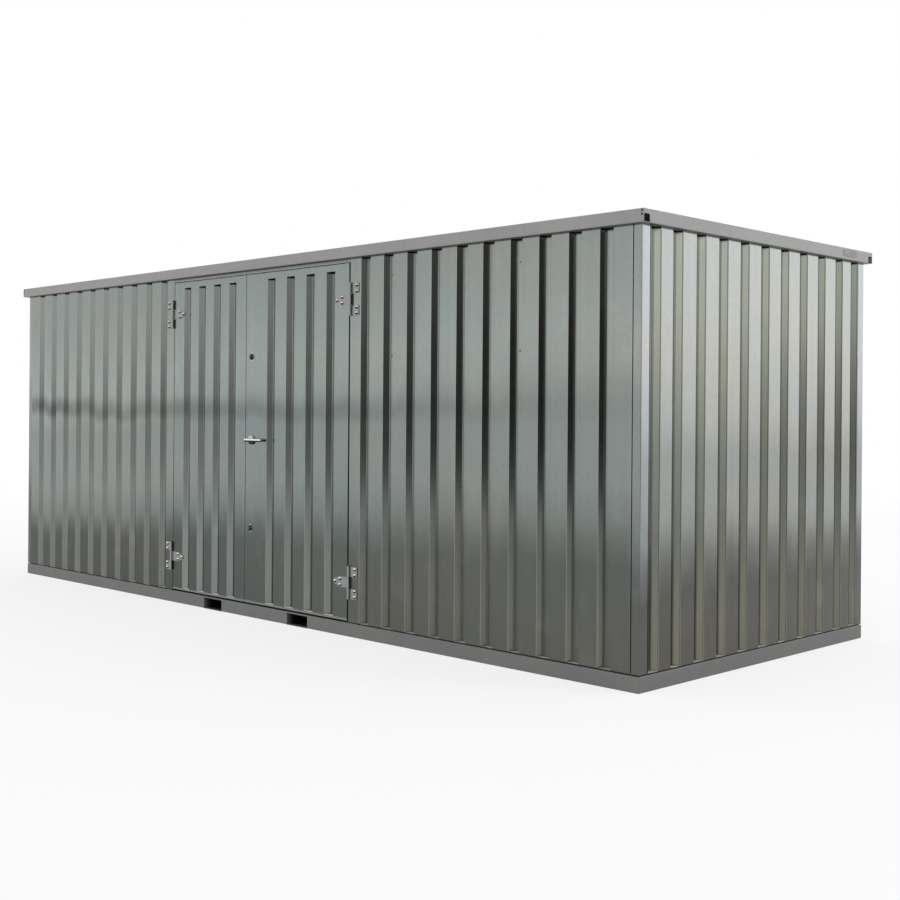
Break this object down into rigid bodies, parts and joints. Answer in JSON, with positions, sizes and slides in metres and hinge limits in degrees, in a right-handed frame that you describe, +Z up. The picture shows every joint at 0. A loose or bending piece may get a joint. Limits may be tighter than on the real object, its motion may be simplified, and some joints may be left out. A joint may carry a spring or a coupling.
{
  "type": "portable site cabin",
  "caption": "Portable steel site cabin with ribbed zinc sheet walls, a pair of outward-opening doors with a lever handle, a flat guttered roof and fork pockets in its base.",
  "frame": {"origin": "ground level under the middle of the cabin's walls", "axes": "+X along the cabin towards the right end as seen from the doors, doors facing -Y, +Z up"},
  "size_m": [6.5, 2.3695, 2.394],
  "materials": {
    "zinc_sheet": "galvanised, dull, dirtier towards the foot",
    "rail_paint": "satin grey",
    "base_paint": "satin dark grey",
    "floor_plate": "worn steel",
    "bright_zinc": "bright zinc",
    "handle_steel": "polished"
  },
  "bodies": {
    "cabin": {"base_front_rail": "base_paint", "base_back_rail": "base_paint", "base_left_rail": "base_paint", "base_right_rail": "base_paint", "base_cross_members": "base_paint", "fork_pocket_left": "base_paint", "fork_pocket_right": "base_paint", "floor_deck": "floor_plate", "post_front_left": "zinc_sheet", "post_front_right": "zinc_sheet", "post_back_left": "zinc_sheet", "post_back_right": "zinc_sheet", "front_wall_left": "zinc_sheet", "front_wall_right": "zinc_sheet", "left_wall": "zinc_sheet", "right_wall": "zinc_sheet", "back_wall_left": "zinc_sheet", "back_wall_middle": "zinc_sheet", "back_wall_right": "zinc_sheet", "door_jamb_left": "rail_paint", "door_jamb_right": "rail_paint", "door_header": "rail_paint", "roof_front_rail": "rail_paint", "roof_back_rail": "rail_paint", "roof_left_rail": "rail_paint", "roof_right_rail": "rail_paint", "roof_bearers": "rail_paint", "roof_sheet_left": "zinc_sheet", "roof_sheet_middle": "zinc_sheet", "roof_sheet_right": "zinc_sheet", "left_hinge_plates": "bright_zinc", "left_hinge_pins": "bright_zinc", "right_hinge_plates": "bright_zinc", "right_hinge_pins": "bright_zinc"},
    "left_leaf": {"left_leaf_sheet": "zinc_sheet", "left_leaf_frame": "zinc_sheet", "left_leaf_straps": "bright_zinc"},
    "right_leaf": {"right_leaf_sheet": "zinc_sheet", "right_leaf_frame": "zinc_sheet", "right_leaf_straps": "bright_zinc", "lock_knobs": "handle_steel", "handle_rose": "handle_steel"},
    "handle": {"handle_lever": "handle_steel"}
  },
  "joints": [
    {"name": "left_leaf_hinge", "type": "hinge", "parent": "cabin", "child": "left_leaf", "pos_m": [-0.993, -1.1435, 1.2], "axis": [0, 0, -1], "range_deg": [0, 170]},
    {"name": "right_leaf_hinge", "type": "hinge", "parent": "cabin", "child": "right_leaf", "pos_m": [0.993, -1.1435, 1.2], "axis": [0, 0, 1], "range_deg": [0, 170]},
    {"name": "handle_turn", "type": "hinge", "parent": "right_leaf", "child": "handle", "pos_m": [-0.0285, -1.16, 1.188], "axis": [0, 1, 0], "range_deg": [0, 90]}
  ]
}
